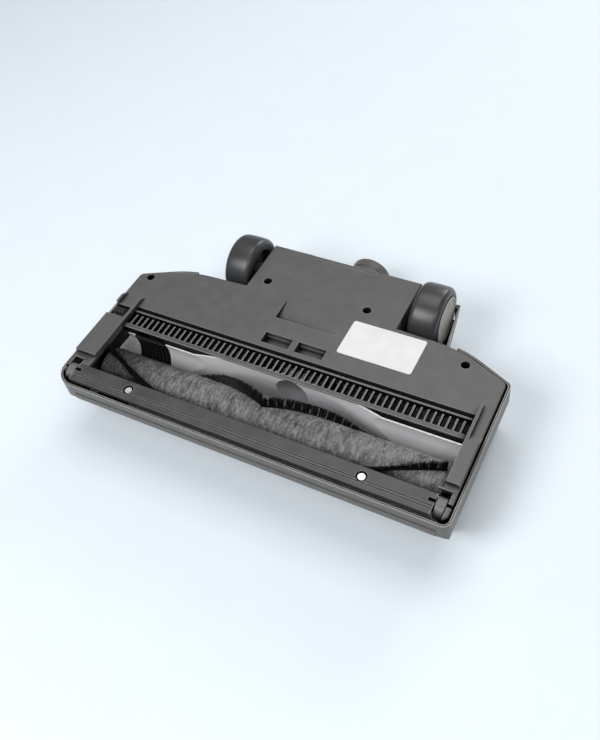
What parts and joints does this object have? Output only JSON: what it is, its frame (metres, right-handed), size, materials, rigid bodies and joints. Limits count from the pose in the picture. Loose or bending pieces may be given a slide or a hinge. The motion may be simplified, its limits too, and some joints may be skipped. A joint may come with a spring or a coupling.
{
  "type": "vacuum floor brush head",
  "caption": "Motor-driven vacuum floor brush head shown sole up, with helical brush roll, comb, silvery suction chamber, rear wheels, front rollers and a tilting, turning neck.",
  "frame": {"origin": "under the middle of the whole head, on the ground plane that its flat deck lies on", "axes": "+Z out of the sole, +X to the right seen from the brush side, -Y towards the brush, +Y towards the neck"},
  "size_m": [0.337, 0.2384, 0.0771],
  "materials": {
    "sole_plastic": "fine moulded grain",
    "cover_plastic": "satin moulded",
    "bumper_soft": "satin",
    "strip_plastic": "satin",
    "bright_steel": "bright",
    "dark_steel": "blackened",
    "comb_plastic": "satin",
    "liner_plastic": "silvery gloss",
    "grille_plastic": "matte",
    "bearing_plastic": "matte",
    "duct_plastic": "satin",
    "seal_rubber": "matte",
    "motor_steel": "zinc grey",
    "belt_rubber": "matte",
    "label_film": "satin film",
    "roll_plastic": "dull, worn",
    "bristle_fibre": "stiff fibres",
    "tyre_rubber": "satin",
    "hub_plastic": "satin",
    "cap_plastic": "ribbed",
    "roller_plastic": "satin",
    "neck_plastic": "satin"
  },
  "bodies": {
    "housing": {"base_plate": "sole_plastic", "top_cover": "cover_plastic", "front_bumper": "bumper_soft", "front_strip": "strip_plastic", "strip_screws": "bright_steel", "housing_screws": "dark_steel", "comb_grille": "comb_plastic", "tunnel_liner": "liner_plastic", "chamber_grille": "grille_plastic", "end_cap_left": "bearing_plastic", "end_cap_right": "bearing_plastic", "suction_duct": "duct_plastic", "duct_seal": "seal_rubber", "motor": "motor_steel", "motor_cradles": "bearing_plastic", "drive_belt": "belt_rubber", "neck_yoke": "bearing_plastic", "wheel_axles": "bright_steel", "roller_pins": "bright_steel", "lint_strip": "grille_plastic", "blank_label": "label_film"},
    "brush_roll": {"roll_core": "roll_plastic", "bristle_strip_a": "bristle_fibre", "bristle_strip_b": "bristle_fibre", "roll_pulley": "bearing_plastic"},
    "rotor": {"motor_shaft": "bright_steel", "motor_armature": "dark_steel", "motor_pulley": "dark_steel"},
    "wheel_left": {"tyre_left": "tyre_rubber", "hub_left": "hub_plastic", "wheel_cap_left": "cap_plastic"},
    "wheel_right": {"tyre_right": "tyre_rubber", "hub_right": "hub_plastic", "wheel_cap_right": "cap_plastic"},
    "front_roller_left": {"roller_left": "roller_plastic"},
    "front_roller_right": {"roller_right": "roller_plastic"},
    "knuckle": {"neck_knuckle": "neck_plastic"},
    "socket": {"neck_socket": "neck_plastic"}
  },
  "joints": [
    {"name": "roll_spin", "type": "hinge", "parent": "housing", "child": "brush_roll", "pos_m": [0, -0.07775, 0.04], "axis": [1, 0, 0], "continuous": true},
    {"name": "rotor_spin", "type": "hinge", "parent": "housing", "child": "rotor", "pos_m": [0, -0.012, 0.027], "axis": [1, 0, 0], "continuous": true},
    {"name": "wheel_left_spin", "type": "hinge", "parent": "housing", "child": "wheel_left", "pos_m": [-0.0858, 0.0624, 0.0496], "axis": [1, 0, 0], "continuous": true},
    {"name": "wheel_right_spin", "type": "hinge", "parent": "housing", "child": "wheel_right", "pos_m": [0.0858, 0.0624, 0.0496], "axis": [1, 0, 0], "continuous": true},
    {"name": "roller_left_spin", "type": "hinge", "parent": "housing", "child": "front_roller_left", "pos_m": [-0.15765, -0.10325, 0.0555], "axis": [1, 0, 0], "continuous": true},
    {"name": "roller_right_spin", "type": "hinge", "parent": "housing", "child": "front_roller_right", "pos_m": [0.15765, -0.10325, 0.0555], "axis": [1, 0, 0], "continuous": true},
    {"name": "neck_tilt", "type": "hinge", "parent": "housing", "child": "knuckle", "pos_m": [0.005, 0.05325, 0.0195], "axis": [-1, 0, 0], "range_deg": [0, 75]},
    {"name": "neck_swivel", "type": "hinge", "parent": "knuckle", "child": "socket", "pos_m": [0.005, 0.09, 0.0195], "axis": [0, 1, 0], "range_deg": [-90, 90]}
  ],
  "couplings": [
    {"joint": "rotor_spin", "follows": "roll_spin", "ratio": 1.75}
  ]
}
